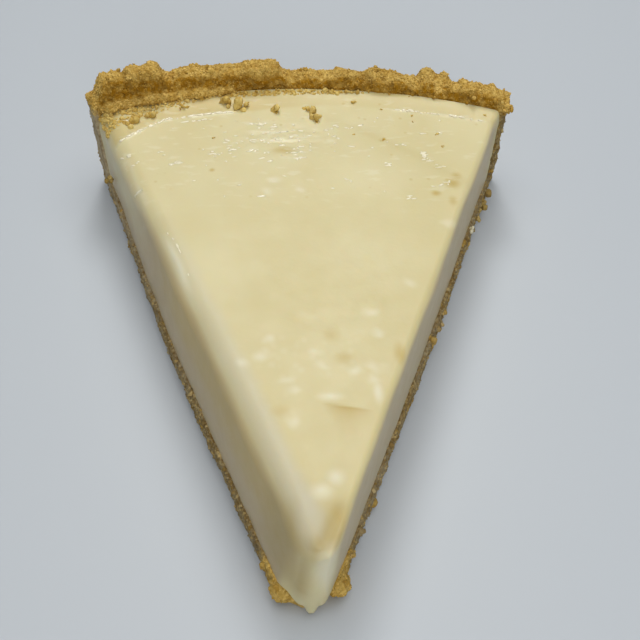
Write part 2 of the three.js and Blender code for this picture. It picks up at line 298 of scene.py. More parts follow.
def lattice(cells, seed):
    """A repeatable random number from 0 to 1 for each whole-number cell."""
    cells = cells.astype(np.int64)
    x, y, z = (cells[..., axis] * factor for axis, factor in enumerate(CELL_FACTORS))
    mixed = x ^ y ^ z ^ seed * SEED_FACTOR
    for shift, factor in MIX_STEPS:
        mixed = (mixed ^ (mixed >> shift)) * factor & KEPT_BITS
    return ((mixed ^ (mixed >> LAST_SHIFT)) & RESULT_BITS) / RESULT_BITS


def soft_noise(points, size, seed):
    """Soft bumps about `size` across, from -1 to 1."""
    scaled = points / size
    base = np.floor(scaled)
    part = scaled - base
    part = part * part * (3 - 2 * part)
    total = np.zeros(len(points))
    for corner in np.ndindex(2, 2, 2):
        weight = np.prod(np.where(np.array(corner) == 1, part, 1 - part), axis=-1)
        total += weight * lattice(base + corner, seed)
    return total * 2 - 1


def grain_noise(points, size, seed):
    """Packed round grains about `size` across: near 1 in the middle of a grain, 0 at its seams."""
    scaled = points / size
    base = np.floor(scaled)
    nearest = np.full(len(points), np.inf)
    for step in np.ndindex(3, 3, 3):
        cell = base + step - 1
        centre = cell + np.stack([lattice(cell, seed + axis) for axis in range(3)], axis=-1)
        nearest = np.minimum(nearest, np.linalg.norm(scaled - centre, axis=-1))
    return np.clip(1 - nearest, 0, 1)


def flat_points(x, y, stretch=1.0):
    return np.stack([x * stretch, y, np.zeros_like(x)], axis=-1)


# Meshes

def link_piece(name, mesh):
    piece = bpy.data.objects.new(name, mesh)
    bpy.context.scene.collection.objects.link(piece)
    mesh.polygons.foreach_set("use_smooth", np.full(len(mesh.polygons), True))
    mesh.update()
    return piece


def new_piece(name, points, faces):
    """A mesh object from points in the pie's plan."""
    mesh = bpy.data.meshes.new(name)
    mesh.from_pydata(to_frame(points).tolist(), [], faces)
    return link_piece(name, mesh)


def paint(piece, name, values):
    """Stores a number for each point, for the piece's material to read."""
    layer = piece.data.attributes.new(name, "FLOAT", "POINT")
    layer.data.foreach_set("value", np.asarray(values, np.float32))


def vertex_values(mesh, name):
    """Three numbers for each point of a mesh, such as its place or its normal."""
    flat = np.zeros(len(mesh.vertices) * 3, np.float32)
    mesh.vertices.foreach_get(name, flat)
    return flat.reshape(-1, 3).astype(float)


# Marks in the filling's top. Each function gives relief in millimetres under "rise", and shares of pale
# custard and painted highlight, yellow custard and painted shade, stain and painted shade, wet, worn, and
# painted grey highlight.

def spot(x, y, centre, half, solid=0.0):
    """1 in the middle of an oval spot, out to the share `solid` of it, falling to 0 at its edge."""
    away = np.hypot((x - centre[0]) / half[0], (y - centre[1]) / half[1])
    return falloff(away, solid, 1.0)


def spots(x, y, ovals):
    """1 in the middle of each of several spots."""
    return np.max([spot(x, y, centre, half) for centre, half in ovals], axis=0)


def ridge(value, middle, half):
    """1 where the value is in the middle, falling off to both sides."""
    return np.exp(-((value - middle) / half) ** 2)


def inside(value, low, high, soft):
    """1 between two limits, with soft ends."""
    return smoothstep(value, low - soft, low + soft) * falloff(value, high - soft, high + soft)


def line_share(x, y, start, end):
    """Distance from a straight line between two places, and the share of the way along it."""
    run = np.subtract(end, start)
    share = np.clip(((x - start[0]) * run[0] + (y - start[1]) * run[1]) / (run @ run), 0, 1)
    return np.hypot(x - start[0] - share * run[0], y - start[1] - share * run[1]), share


def even_waves(x, y):
    """Slow waves over the whole top, and painted shade towards the tip: a slightly deeper colour."""
    points = flat_points(x, y)
    return {
        "rise": 0.10 * soft_noise(points, 14, 3) + 0.035 * soft_noise(points, 5, 4),
        "stain": 0.14 * falloff(y, 18, 60),
    }


def film_edge(angle):
    """How far the custard drew back from the rim, at an angle in degrees from the slice's middle."""
    left = FILM_WIDTH[0] + FILM_WIDENING[0] * np.clip(-angle - FILM_BEND[0], 0, None)
    right = FILM_WIDTH[1] + FILM_WIDENING[1] * np.clip(angle - FILM_BEND[1], 0, None)
    return lerp(left, right, smoothstep(angle, *FILM_MIDDLE))


def foot_reach(angle):
    """How far from the rim crumbs lie on the filling, at an angle in degrees."""
    return lerp(*FOOT_REACH, smoothstep(angle, -21, -9)) * falloff(angle, 0, 8)


def rim_film(x, y):
    """A film left where the custard drew back from the rim, with a glossy broken line at its edge, also
    painted pale as a highlight.
    """
    points = flat_points(x, y)
    to_rim = RIM_RADIUS - np.hypot(x, y)
    angle = np.degrees(np.arctan2(x, y))
    right = smoothstep(angle, *FILM_MIDDLE)
    edge = film_edge(angle) + 0.2 * soft_noise(points, 5, 11)
    shows = np.maximum(smoothstep(-angle, 6.5, 8.5), smoothstep(angle, 9, 12))
    broken = smoothstep(soft_noise(points, 1.6, 12), -0.45, 0.15)
    line = shows * broken * ridge(to_rim, edge, lerp(0.40, 0.30, right))
    film = smoothstep(to_rim, edge + 0.6, edge - 0.6)
    climb = MENISCUS_RISE * np.exp(-to_rim / MENISCUS_WIDTH)
    patches = smoothstep(soft_noise(points, 1.8, 13), -0.5, 0.5)
    soaked = smoothstep(foot_reach(angle) - to_rim, -1.5, 1.0) * patches
    return {
        "rise": climb + 0.12 * line + 0.12 * shows * film,
        "pale": 0.35 * line,
        "stain": np.maximum(film * lerp(0.40, 0.18, right), 0.8 * soaked),
        "wet": line,
    }


def torn_patch(x, y):
    """A torn, wet patch in the middle of the wide end, dragged sideways, and the worn custard round it."""
    dragged = flat_points(x, y, 0.40)
    to_rim = RIM_RADIUS - np.hypot(x, y)
    torn = spot(x, y, TORN_PATCH, (15.0, 7.5), 0.1)
    rough = soft_noise(dragged, 1.2, 21) + 0.6 * soft_noise(dragged, 0.7, 22)
    return {
        "rise": torn * (0.07 * rough - 0.10),
        "pale": 0.25 * torn * np.clip(rough, 0, 1),
        "wet": 0.5 * torn,
        "worn": smoothstep(y, 66, 82) * smoothstep(to_rim, 0.5, 3.0) * lerp(0.55, 1.0, torn),
    }


def right_groove(x, y):
    """A soft groove from the rim to the right cut: the custard beyond it lies a little lower, with faint
    painted shade along the groove.
    """
    across = x - GROOVE_START[0]
    beyond = y - (GROOVE_START[1] - 0.50 * across - 0.010 * across ** 2)
    shows = smoothstep(x, 2, 7)
    groove = shows * ridge(beyond, 0, 1.3)
    step = shows * smoothstep(beyond, -2.0, 2.0)
    return {"rise": -0.09 * step - 0.02 * groove, "stain": 0.05 * groove, "wet": 0.2 * groove}


def pale_curds(x, y):
    """Soft pale curds near the narrow end, a few of them larger."""
    points = flat_points(x, y)
    wobble_x = x + 0.8 * soft_noise(points, 1.8, 31)
    wobble_y = y + 0.8 * soft_noise(points, 1.8, 32)
    large = spots(wobble_x, wobble_y, [(place, (1.9, 1.5)) for place in PALE_CURDS])
    small = spot(x, y, (2.0, 38.5), (14.0, 9.0), 0.3) * smoothstep(grain_noise(points, 1.9, 33), 0.55, 0.9)
    return {"rise": 0.02 * large + 0.01 * small, "pale": 0.50 * large + 0.20 * small}


def crease(x, y):
    """A torn crease across the narrow end: a yellow line, darker as painted shade, sharp at the back, with a
    pale lip behind it.
    """
    behind = y - (31.3 - 0.20 * np.clip(x - 2.0, 0, None))
    lens = np.sin(np.pi * np.clip((x - CREASE_LEFT) / CREASE_LENGTH, 0, 1))
    fade = np.exp(-np.clip(-behind, 0, None) / (0.4 + 1.4 * lens))
    line = lens * smoothstep(-behind, -0.30, 0.15) * fade
    lip = spot(x, y, (3.6, 32.2), (2.9, 1.1))
    streak = spot(x, y, (10.5, 32.8), (1.1, 2.8))
    return {
        "rise": 0.10 * lip - 0.10 * line + 0.05 * streak,
        "pale": 0.70 * lip + 0.75 * streak,
        "yellow": line,
    }


def tip_marks(x, y):
    """A trough by the tip, painted yellow and darker as painted shade in it and its blobs, and the pale lumps
    beside it.
    """
    away, share = line_share(x, y, *TIP_TROUGH)
    trough = ridge(away, 0, lerp(1.0, 0.8, share))
    blobs = spots(x, y, TIP_BLOBS)
    knobs = spots(x, y, TIP_KNOBS)
    bank = spot(x, y, (0.4, 13.6), (2.8, 4.6), 0.3)
    return {
        "rise": -0.32 * trough + 0.18 * knobs + 0.12 * bank,
        "pale": 0.75 * knobs + 0.05 * bank,
        "yellow": np.maximum(0.40 * trough, 0.65 * blobs) * (1 - knobs),
        "wet": 0.3 * trough,
        # A little painted greyish highlight on the bank by the tip.
        "grey_highlight": 0.35 * bank,
    }


def left_edge(x, y):
    """A painted greyish highlight along the rounded edge over the left cut, mostly by the tip, and a moist
    streak that is painted pale as a highlight.
    """
    from_edge = x + half_width(y) - left_lean(y) + 0.3 * soft_noise(flat_points(x, y), 6, 41)
    stretch = np.maximum(inside(y, 54, 64, 3.0), 0.4 * inside(y, 74, 86, 2.0))
    streak = ridge(from_edge, 1.4, 0.6) * stretch
    grey_highlight = inside(from_edge, 0.4, 4.2, 1.3) * np.interp(y, (11, 17, 60, 75), (0.25, 0.85, 0.35, 0.0))
    return {"rise": 0.05 * streak, "pale": 0.8 * streak, "wet": 0.4 * streak, "grey_highlight": grey_highlight}


def stains(x, y):
    ovals = [strength * spot(x, y, (at_x, at_y), half) for at_x, at_y, *half, strength in STAINS]
    return {"stain": np.max(ovals, axis=0)}


def top_marks(x, y):
    """All marks in the filling's top together."""
    marks = (even_waves, rim_film, torn_patch, right_groove, pale_curds, crease, tip_marks, left_edge, stains)
    total = {}
    for mark in marks:
        for layer, values in mark(x, y).items():
            total[layer] = total.get(layer, 0) + values
    return total


# Filling

def half_width(y):
    return y * math.tan(HALF_ANGLE) - FILLING_INSET / math.cos(HALF_ANGLE)


def left_lean(y):
    """How far in the top of the left cut leans."""
    return lerp(*LEFT_LEAN, (y - TIP_Y) / FILLING_LENGTH)


def spaced(index, count, span, start_round, end_round, steps):
    """Where grid line `index` of `count` falls on a span, with close steps in the rounding at each end."""
    share = (index - steps) / (count - 2 * steps)
    middle = lerp(start_round, span - end_round, share)
    start = start_round * index / steps
    end = span - end_round * (count - index) / steps
    return np.where(index <= steps, start, np.where(index >= count - steps, end, middle))


def block_grid(columns, rows, levels, floor_rows):
    """Grid steps of a closed block's outer points, and its faces. Past `floor_rows` the floor is strips."""
    shape = (columns + 1, rows + 1, levels + 1)
    i, j, k = np.indices(shape)
    on_walls = (i == 0) | (i == columns) | (j == 0) | (j == rows)
    outer = on_walls | (k == levels) | ((k == 0) & (j <= floor_rows))
    number = np.full(shape, -1)
    number[outer] = np.arange(outer.sum())

    def quads(a, b, c, d):
        return np.stack([a.ravel(), b.ravel(), c.ravel(), d.ravel()], axis=-1).tolist()

    def sheet(grid, flip):
        ring = [grid[:-1, :-1], grid[1:, :-1], grid[1:, 1:], grid[:-1, 1:]]
        return quads(*(ring[::-1] if flip else ring))

    faces = sheet(number[:, :, levels], False)
    faces += sheet(number[0], True)
    faces += sheet(number[columns], False)
    faces += sheet(number[:, 0], False)
    faces += sheet(number[:, rows], True)
    floor = number[:, :, 0]
    faces += sheet(floor[:, :floor_rows + 1], True)
    seam = floor_rows
    left, right = floor[0], floor[columns]
    faces.append([left[seam], left[seam + 1], right[seam + 1]] + floor[::-1, seam][:-1].tolist())
    faces += quads(left[seam + 1:-2], left[seam + 2:-1], right[seam + 2:-1], right[seam + 1:-2])
    faces.append([left[-2]] + floor[:, -1].tolist() + [right[-2]])
    return np.stack([i[outer], j[outer], k[outer]]), faces


def make_filling():
    """Set custard from the rim to the tip: a block of grid points, rounded and bent into the wedge."""
    columns, rows, levels = FILLING_GRID
    column_steps, row_steps, level_steps = FILLING_ROUND_STEPS
    (i, j, k), faces = block_grid(columns, rows, levels, FILLING_FLOOR_ROWS)
    rise = FILLING_TOP - FILLING_BOTTOM

    along = spaced(j, rows, FILLING_LENGTH, TIP_TOP_ROUND, PLAIN_EDGE, row_steps)
    width = 2 * half_width(TIP_Y + along)
    across = spaced(i, columns, width, LEFT_ROUND, RIGHT_ROUND, column_steps)
    edge_round = lerp(LEFT_ROUND, RIGHT_ROUND, smoothstep(across / width, 0.2, 0.8))
    height = spaced(k, levels, rise, PLAIN_EDGE, edge_round, level_steps) + FILLING_BOTTOM

    # Points in the zones next to an edge move onto its rounding.
    zone_left = np.minimum(0, across / LEFT_ROUND - 1)
    zone_right = np.maximum(0, 1 - (width - across) / RIGHT_ROUND)
    zone_tip = np.minimum(0, along / TIP_TOP_ROUND - 1)
    zone_up = np.maximum(0, (height - FILLING_TOP + edge_round) / edge_round)
    zones = np.stack([zone_left + zone_right, zone_tip, zone_up])
    reach = np.linalg.norm(zones, axis=0)
    keep = np.where(reach > 0, np.abs(zones).max(0) / np.maximum(reach, 1e-9), 1) - 1
    lateral = across + LEFT_ROUND * zone_left * keep + RIGHT_ROUND * zone_right * keep
    distance = along + TIP_TOP_ROUND * zone_tip * keep
    z = height + edge_round * zone_up * keep

    # The block is bent into the wedge, and its cut faces lean, bulge and wave.
    u = lateral / width * 2 - 1
    share = distance / FILLING_LENGTH
    back_angle = u * (HALF_ANGLE - math.asin(FILLING_INSET / FILLING_BACK))
    x = lerp(u * half_width(TIP_Y), FILLING_BACK * np.sin(back_angle), share)
    y = lerp(TIP_Y, FILLING_BACK * np.cos(back_angle), share)
    risen = np.clip((z - FILLING_BOTTOM) / rise, 0, 1)
    to_back = falloff(distance, FILLING_LENGTH - LEAN_END, FILLING_LENGTH)
    lean = lerp(lerp(*LEFT_LEAN, share), -lerp(*RIGHT_LEAN, share), (u + 1) / 2)
    bulge = np.where(u < 0, *BASE_BULGE) * np.sin(np.pi * share) ** 2
    x = x + u * (1 - risen) * bulge + risen * to_back * lean
    points = np.stack([x, y, z], axis=-1)
    wave = CUT_WAVE * soft_noise(points, 9, 51) + CUT_RIPPLE * soft_noise(points * CUT_DRAG, 1.6, 52)
    on_side = to_back * np.abs(u) ** 12
    x = x + np.sign(u) * on_side * wave

    # The marks in the top, and its fall to the tip.
    marks = top_marks(x, y)
    z = z + zone_up * marks["rise"] - TIP_FALL * risen * falloff(y, TIP_Y, TIP_FALL_END)

    # The run of filling that hangs down the blunt tip, and the drop below it.
    front = falloff(distance, 0.3, RUN_DEPTH)
    hang = front * falloff(np.abs(x - RUN_X), 1.5, RUN_HALF_WIDTH)
    drop = front * falloff(np.abs(x - DROP_X), 0.2, DROP_HALF_WIDTH)
    z = z - (1 - risen) ** 2 * (hang * (FILLING_BOTTOM - RUN_LOWEST) + drop * (RUN_LOWEST - DROP_LOWEST))
    y = y - 0.8 * hang * ridge(z, 6.5, 4.0) - 0.7 * drop * ridge(z, 1.6, 1.9)

    points = np.stack([x, y, z], axis=-1)
    piece = new_piece("filling_body", points, faces)
    paint_filling(piece, points, marks, u < 0, zone_up ** 2, on_side, front)
    return piece


def paint_filling(piece, points, marks, left, on_top, on_side, front):
    """Shades of the custard, with painted light and shade: its marks on top, its cut faces and its tip."""
    x, y, z = points.T
    for name in ("yellow", "stain", "wet", "worn", "grey_highlight"):
        paint(piece, name, np.clip(on_top * marks[name], 0, 1))

    # The cuts are painted a little pinker and darker, the darker partly painted shade. The left one has
    # painted light by the rim, and a warm brown painted shade under its top edge.
    cut = on_side * np.where(left, 1.0, 0.9) * (1 - on_top)
    lit = left * smoothstep(z, 7, 16) * smoothstep(y, 66, 84)
    nose = front * spot(x, z, (2.9, 14.0), (2.6, 7.5), 0.3)
    # The pale layer here also holds painted light: a painted highlight on the tip's nose, and light by the
    # rim on the left cut.
    paint(piece, "pale", np.clip(on_top * marks["pale"] + 0.75 * nose + 0.3 * cut * lit, 0, 1))
    paint(piece, "cut", cut * (1 - 0.8 * lit))
    # Painted shade: a warm brown band under the left cut's top edge.
    paint(piece, "warm_shade", cut * left * smoothstep(z, 8, 16) * (1 - 0.8 * smoothstep(y, 52, 74)))

    # Painted shade dims the tip on its left, from the shoulder down to the foot, and a little on its top.
    by_tip = falloff(y, 13, 22)
    face = front * falloff(x, -1.2, 1.4) * smoothstep(z, 4, 9)
    shoulder = by_tip * falloff(x, -2.5, 3.0) * smoothstep(z, 13, 17)
    side = by_tip * falloff(x, -2.0, 0.5) * smoothstep(z, 5, 10)
    top = on_top * falloff(y, 11, 19) * falloff(x, 4.0, 6.5)
    paint(piece, "tip_shade", np.max([0.9 * face, 0.8 * shoulder, 0.8 * side, 0.60 * top], axis=0))


# Crust

def remeshed(source, voxel):
    """A copy of a solid's mesh with an even grid."""
    copy = bpy.data.objects.new("remesh_source", source.data.copy())
    bpy.context.scene.collection.objects.link(copy)
    modifier = copy.modifiers.new("voxels", "REMESH")
    modifier.mode = "VOXEL"
    modifier.voxel_size = voxel * MM
    graph = bpy.context.evaluated_depsgraph_get()
    mesh = bpy.data.meshes.new_from_object(copy.evaluated_get(graph))
    bpy.data.objects.remove(copy)
    return mesh


def past_cut(points):
    """Distance out of the wedge across the nearer cut, less than 0 inside."""
    return np.abs(points[:, 0]) - points[:, 1] * math.tan(HALF_ANGLE)


def refine(mesh):
    """Splits the faces of the crust that show, on the rim and at the cuts, into four."""
    shape = bmesh.new()
    shape.from_mesh(mesh)
    centres = to_plan([face.calc_center_median()[:] for face in shape.faces])
    shows = (centres[:, 2] > FILLING_TOP - 0.6) | (past_cut(centres) > -1.1)
    edges = {edge for face, seen in zip(shape.faces, shows) if seen for edge in face.edges}
    bmesh.ops.subdivide_edges(shape, edges=list(edges), cuts=1, use_grid_fill=True)
    shape.to_mesh(mesh)
    shape.free()


def browned_share(points, normals, wall):
    """How browned the rim's wall over the filling is, up to an uneven height."""
    x, y, z = points.T
    inward = -(normals[:, 0] * x + normals[:, 1] * y) / np.hypot(x, y)
    top = np.interp(np.degrees(np.arctan2(x, y)), BROWNED_ANGLES, BROWNED_TOPS)
    top = top + 0.6 * soft_noise(points, 2.2, 56)
    browned = wall * smoothstep(inward + 0.25 * soft_noise(points, 1.7, 55), 0.25, 0.60)
    browned = browned * falloff(z, top - 0.8, top + 0.4)
    return browned * smoothstep(past_cut(points), -0.8, -2.4)


def cut_shares(points, normals, at_cut):
    """Shares of cut crumb, of cut crumb smeared with custard, and of crumb that is coated with it."""
    x, y, z = points.T
    sideways = np.abs(normals[:, 0]) * math.cos(HALF_ANGLE) - normals[:, 1] * math.sin(HALF_ANGLE)
    low = falloff(z, FILLING_TOP - 4, FILLING_TOP - 1)
    cut = at_cut * np.maximum(low, smoothstep(sideways, 0.2, 0.6))
    cut = cut * smoothstep(y, 14, 18) * falloff(z, FILLING_TOP - 1, FILLING_TOP + 1.5)
    patches = smoothstep(soft_noise(points, 7, 57), -0.4, 0.4)
    left_back = (x < 0) * smoothstep(y + 4 * soft_noise(points, 4, 59), 58, 66)
    smeared = cut * np.maximum(lerp(0.1, 0.7, patches), 0.85 * left_back)
    coated = cut * (x < 0) * smoothstep(y + 3 * soft_noise(points, 3, 58), 78, 86) * smoothstep(z, 2, 4)
    coated = coated * (1 - 0.6 * smoothstep(normals[:, 2], 0.2, 0.7))
    return cut, smeared, coated


def crust_zones(points, normals):
    """For each point, shares from 0 to 1 of the crumb's shades, and how densely grains and crumbs stick."""
    x, y, z = points.T
    radius = np.hypot(x, y)
    above = smoothstep(z, FILLING_TOP - 0.6, FILLING_TOP + 0.2)
    wall = smoothstep(radius, RIM_RADIUS - 0.3, RIM_RADIUS + 0.4)
    wall = wall * falloff(radius, RIM_RADIUS + 1.8, RIM_RADIUS + 3.0)
    foot = wall * falloff(z, FILLING_TOP + 0.6, FILLING_TOP + 2.0)
    outside = smoothstep(radius, RIM_RADIUS + 4, RIM_RADIUS + 6)
    at_cut = smoothstep(past_cut(points), -1.6, -0.6)
    cut, smeared, coated = cut_shares(points, normals, at_cut)
    clear = smoothstep(z, 0.3, 0.6) * (normals[:, 2] > -0.6)
    cut_density = clear * at_cut * (1 - 0.9 * coated)
    return {
        "browned": browned_share(points, normals, above * wall),
        "cut": cut,
        "smeared": smeared,
        "coated": coated,
        "rim_density": clear * np.maximum(above, 0.25 * outside),
        "foot_density": clear * np.maximum(above * lerp(0.3, 1.0, foot), 0.1 * outside),
        "cut_density": cut_density,
        "lump_density": cut_density * np.where(x < 0, 0.35, 1.0),
    }


def make_crust():
    """The pressed crumb, its solid's own form with grainy relief, and the zones of its surface."""
    mesh = remeshed(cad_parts["crust"], CRUST_VOXEL)
    mesh.name = "crust_body"
    refine(mesh)
    points = to_plan(vertex_values(mesh, "co"))
    normals = vertex_values(mesh, "normal")
    zones = crust_zones(points, normals)

    push = np.zeros(len(points))
    # Painted shade in the seams between the grains.
    seam = np.full(len(points), SEAM_SHADE_SHARE)
    for breadth, depth, darkening, seed in CRUST_RELIEF:
        grains = grain_noise(points, breadth, seed) - RELIEF_MIDDLE
        push += depth * grains
        seam -= darkening * grains
    push = push * lerp(1.0, 0.3, zones["coated"]) - RELIEF_SINK
    # The seams' painted shade is stronger on the browned wall and at the cuts.
    zones["seam"] = np.clip(seam, 0, 1) * lerp(0.4, 1.0, np.maximum(zones["browned"], zones["cut"]))

    # The underside stays flat, and no relief goes below it.
    lifted = smoothstep(points[:, 2], 0.05, 0.6)
    moved = points + normals * push[:, None] * lerp(0.6, 1.0, lifted)[:, None]
    under = points[:, 2] < 0.25
    moved[under, 2] = points[under, 2]
    moved[:, 2] = np.maximum(moved[:, 2], 0)
    mesh.vertices.foreach_set("co", to_frame(moved).astype(np.float32).ravel())
    piece = link_piece("crust_body", mesh)
    for layer in CRUMB_LAYERS:
        paint(piece, layer, zones[layer])
    return piece, zones


# Grains and crumbs

def crumb_shape(detail):
    """Points and triangles of a round crumb before it is made uneven."""
    shape = bmesh.new()
    bmesh.ops.create_icosphere(shape, subdivisions=detail, radius=1.0)
    points = np.array([vertex.co[:] for vertex in shape.verts])
    triangles = np.array([[vertex.index for vertex in face.verts] for face in shape.faces])
    shape.free()
    return points, triangles


def copied_faces(triangles, points_each, count):
    """Triangles of several copies of a shape, whose points follow each other in one list."""
    starts = np.arange(count)[:, None, None] * points_each
    return (triangles[None] + starts).reshape(-1, 3).tolist()


def random_turns(count):
    """Random rotation matrices."""
    q = rng.normal(size=(count, 4))
    w, x, y, z = (q / np.linalg.norm(q, axis=1, keepdims=True)).T
    rows = [
        [1 - 2 * (y * y + z * z), 2 * (x * y - w * z), 2 * (x * z + w * y)],
        [2 * (x * y + w * z), 1 - 2 * (x * x + z * z), 2 * (y * z - w * x)],
        [2 * (x * z - w * y), 2 * (y * z + w * x), 1 - 2 * (x * x + y * y)],
    ]
    return np.moveaxis(np.array(rows), -1, 0)


def random_sizes(count, size, spread):
    return size * np.clip(rng.lognormal(0, spread, count), *CRUMB_SIZE_LIMITS)


def random_swell(count, points_each, amount):
    """Factors near 1 for the points of several copies of a shape."""
    return 1 + amount * rng.normal(size=(count, points_each, 1)).clip(-1.5, 1.5)


def crag(local, count):
    """How far each point of a crumb's round shape stands out: knobbly, and different for every crumb."""
    places = (local * 1.5 + rng.uniform(0, 100, (count, 1, 3))).reshape(-1, 3)
    swell = 0.70 + 0.62 * grain_noise(places, 0.95, 71) + 0.14 * soft_noise(places, 0.33, 75)
    return swell.reshape(count, -1, 1)


def clustered(centres, sizes, shades):
    """Splits each crumb into several smaller grains that stick together."""
    count = len(centres) * GRAINS_IN_CRUMB
    centres = np.repeat(centres, GRAINS_IN_CRUMB, axis=0)
    sizes = np.repeat(sizes, GRAINS_IN_CRUMB)
    spread = rng.normal(size=(count, 3)).clip(-1.6, 1.6) * [0.50, 0.50, 0.38]
    centres = centres + spread * sizes[:, None]
    sizes = sizes * rng.uniform(0.30, 0.70, count)
    return centres, sizes, {name: np.repeat(values, GRAINS_IN_CRUMB) for name, values in shades.items()}


def make_crumbs(name, centres, sizes, detail, shades):
    """One mesh of uneven crumbs, each at its own place and size, with shades of its own."""
    shape, triangles = crumb_shape(detail)
    count = len(centres)
    local = shape[None] * rng.uniform(0.7, 1.25, size=(count, 1, 3))
    if detail == GRAIN_DETAIL:
        local = local * random_swell(count, len(shape), 0.24)
    else:
        local = local * crag(local, count)
    turned = np.einsum("nij,nvj->nvi", random_turns(count), local * sizes[:, None, None])
    points = (turned + centres[:, None]).reshape(-1, 3)
    points[:, 2] = np.maximum(points[:, 2], 0)
    piece = new_piece(name, points, copied_faces(triangles, len(shape), count))
    paint(piece, "tone", np.repeat(rng.uniform(0, 1, count), len(shape)))
    for layer, values in shades.items():
        paint(piece, layer, np.repeat(values, len(shape)))
    return piece


def surface_samples(mesh, count, density):
    """Random places on a mesh, more of them where its points' `density` is high, and a mesh point by each."""
    mesh.calc_loop_triangles()
    corners = np.zeros(len(mesh.loop_triangles) * 3, np.int32)
    mesh.loop_triangles.foreach_get("vertices", corners)
    corners = corners.reshape(-1, 3)
    first, second, third = np.moveaxis(to_plan(vertex_values(mesh, "co"))[corners], 1, 0)
    area = np.linalg.norm(np.cross(second - first, third - first), axis=1)
    weight = area * density[corners].mean(1)
    chosen = rng.choice(len(corners), count, p=weight / weight.sum())
    a = np.sqrt(rng.uniform(size=(count, 1)))
    b = rng.uniform(size=(count, 1))
    places = (1 - a) * first[chosen] + a * (1 - b) * second[chosen] + a * b * third[chosen]
    return corners[chosen, 0], places


def stick_on(crust, zones, name, density, count, size, sink, detail):
    """Grains or crumbs stuck to the crust. Each sits `sink` of its size below the surface."""
    nearest, places = surface_samples(crust.data, count, zones[density])
    sizes = random_sizes(count, size, CRUMB_SPREAD)
    centres = places - vertex_values(crust.data, "normal")[nearest] * (sink * sizes)[:, None]
    shades = {}
    for layer, shares in CRUMB_LAYERS.items():
        shades[layer] = zones[layer][nearest] * rng.uniform(*shares, count)
    if detail == CRUMB_DETAIL:
        bare = rng.uniform(0, 1, count) < BARE_CRUMBS
        shades["cut"] = np.where(bare, 0.4 * shades["cut"], shades["cut"])
        shades["smeared"] = np.where(bare, 0, shades["smeared"])
        centres, sizes, shades = clustered(centres, sizes, shades)
    return make_crumbs(name, centres, sizes, detail, shades)


def surface_below(piece, places):
    """The surface straight below each place in the plan: its points, its normals, and which places met it."""
    tree = BVHTree.FromObject(piece, bpy.context.evaluated_depsgraph_get())
    starts = to_frame(np.column_stack([places, np.full(len(places), 2 * FILLING_TOP)]))
    hits = [tree.ray_cast(Vector(start), Vector((0, 0, -1))) for start in starts]
    met = np.array([hit[0] is not None for hit in hits])
    points = to_plan([hit[0][:] for hit in hits if hit[0] is not None])
    normals = np.array([hit[1][:] for hit in hits if hit[0] is not None])
    return points, normals, met


def make_fallen_crumbs(filling):
    """The crumbs that show one by one, and those spread along the foot of the rim, nearly all on the left."""
    single = np.array(FALLEN_CRUMBS)
    rest, _, met = surface_below(filling, single[:, :2])
    sizes = single[met, 2]
    lift = sizes * lerp(-0.25, 0.15, smoothstep(sizes, 0.3, 0.8))
    stuck = np.array(STUCK_CRUMBS)
    large_centres = np.concatenate([rest + lift[:, None] * [0, 0, 1], stuck[:, :3]])
    large_sizes = np.concatenate([sizes, stuck[:, 3]])
    single_centres, single_sizes, _ = clustered(large_centres, large_sizes, {})

    degrees = lerp(*FOOT_ANGLES, rng.uniform(0, 1, FOOT_CRUMBS) ** 1.7)
    outward = rng.uniform(0, 1, FOOT_CRUMBS) ** 1.3
    places = polar(RIM_RADIUS - 0.1 - foot_reach(degrees) * outward, degrees)
    foot, _, met = surface_below(filling, places)
    foot_sizes = random_sizes(len(foot), FOOT_CRUMB_SIZE, FOOT_CRUMB_SPREAD)
    lift = 0.5 * (1 - outward[met]) * rng.uniform(0, 1, len(foot)) - 0.45 * foot_sizes
    foot_centres = foot + lift[:, None] * [0, 0, 1]

    centres = np.concatenate([single_centres, foot_centres])
    sizes = np.concatenate([single_sizes, foot_sizes])
    shades = {layer: np.zeros(len(centres)) for layer in CRUMB_LAYERS}
    shades["browned"] = rng.uniform(0, 0.3, len(centres))
    stuck_grains = slice(len(rest) * GRAINS_IN_CRUMB, len(single_centres))
    shades["cut"][stuck_grains] = STUCK_CRUMB_CUT
    return make_crumbs("fallen_crumbs", centres, sizes, CRUMB_DETAIL, shades)


def make_curds():
    stuck = np.array(STUCK_CURDS)
    centres, sizes, shades = clustered(stuck[:, :3], stuck[:, 3], {})
    return make_crumbs("curds", centres, sizes, CRUMB_DETAIL, shades)


# Moisture: low beads on the filling, coloured near white as painted highlights. The bead functions give
# places, and the way each bead is drawn out.

def film_line(angle, further):
    """Places on the edge of the film by the rim, or `further` from the rim."""
    return polar(RIM_RADIUS - film_edge(angle) - further, angle)


def film_beads(start, end, count, further):
    """Beads along the edge of the film between two angles."""
    angle = rng.uniform(start, end, count)
    way = film_line(angle + 0.1, further) - film_line(angle - 0.1, further)
    return film_line(angle, further) + rng.normal(0, 0.10, (count, 2)), way


def strewn_beads(centres, spread, each):
    """Beads strewn round each of several places, drawn out sideways."""
    places = np.repeat(np.asarray(centres, float), each, axis=0)
    places = places + rng.normal(0, 1, places.shape).clip(-2, 2) * spread
    way = np.column_stack([np.ones(len(places)), rng.normal(0, 0.25, len(places))])
    return places, way


def left_edge_beads(count):
    """Beads on the rounded edge over the left cut."""
    y = rng.uniform(56, 68, count)
    places = np.column_stack([left_lean(y) - half_width(y) + rng.normal(2.4, 0.35, count), y])
    return places, np.tile([-math.sin(HALF_ANGLE), math.cos(HALF_ANGLE)], (count, 1))


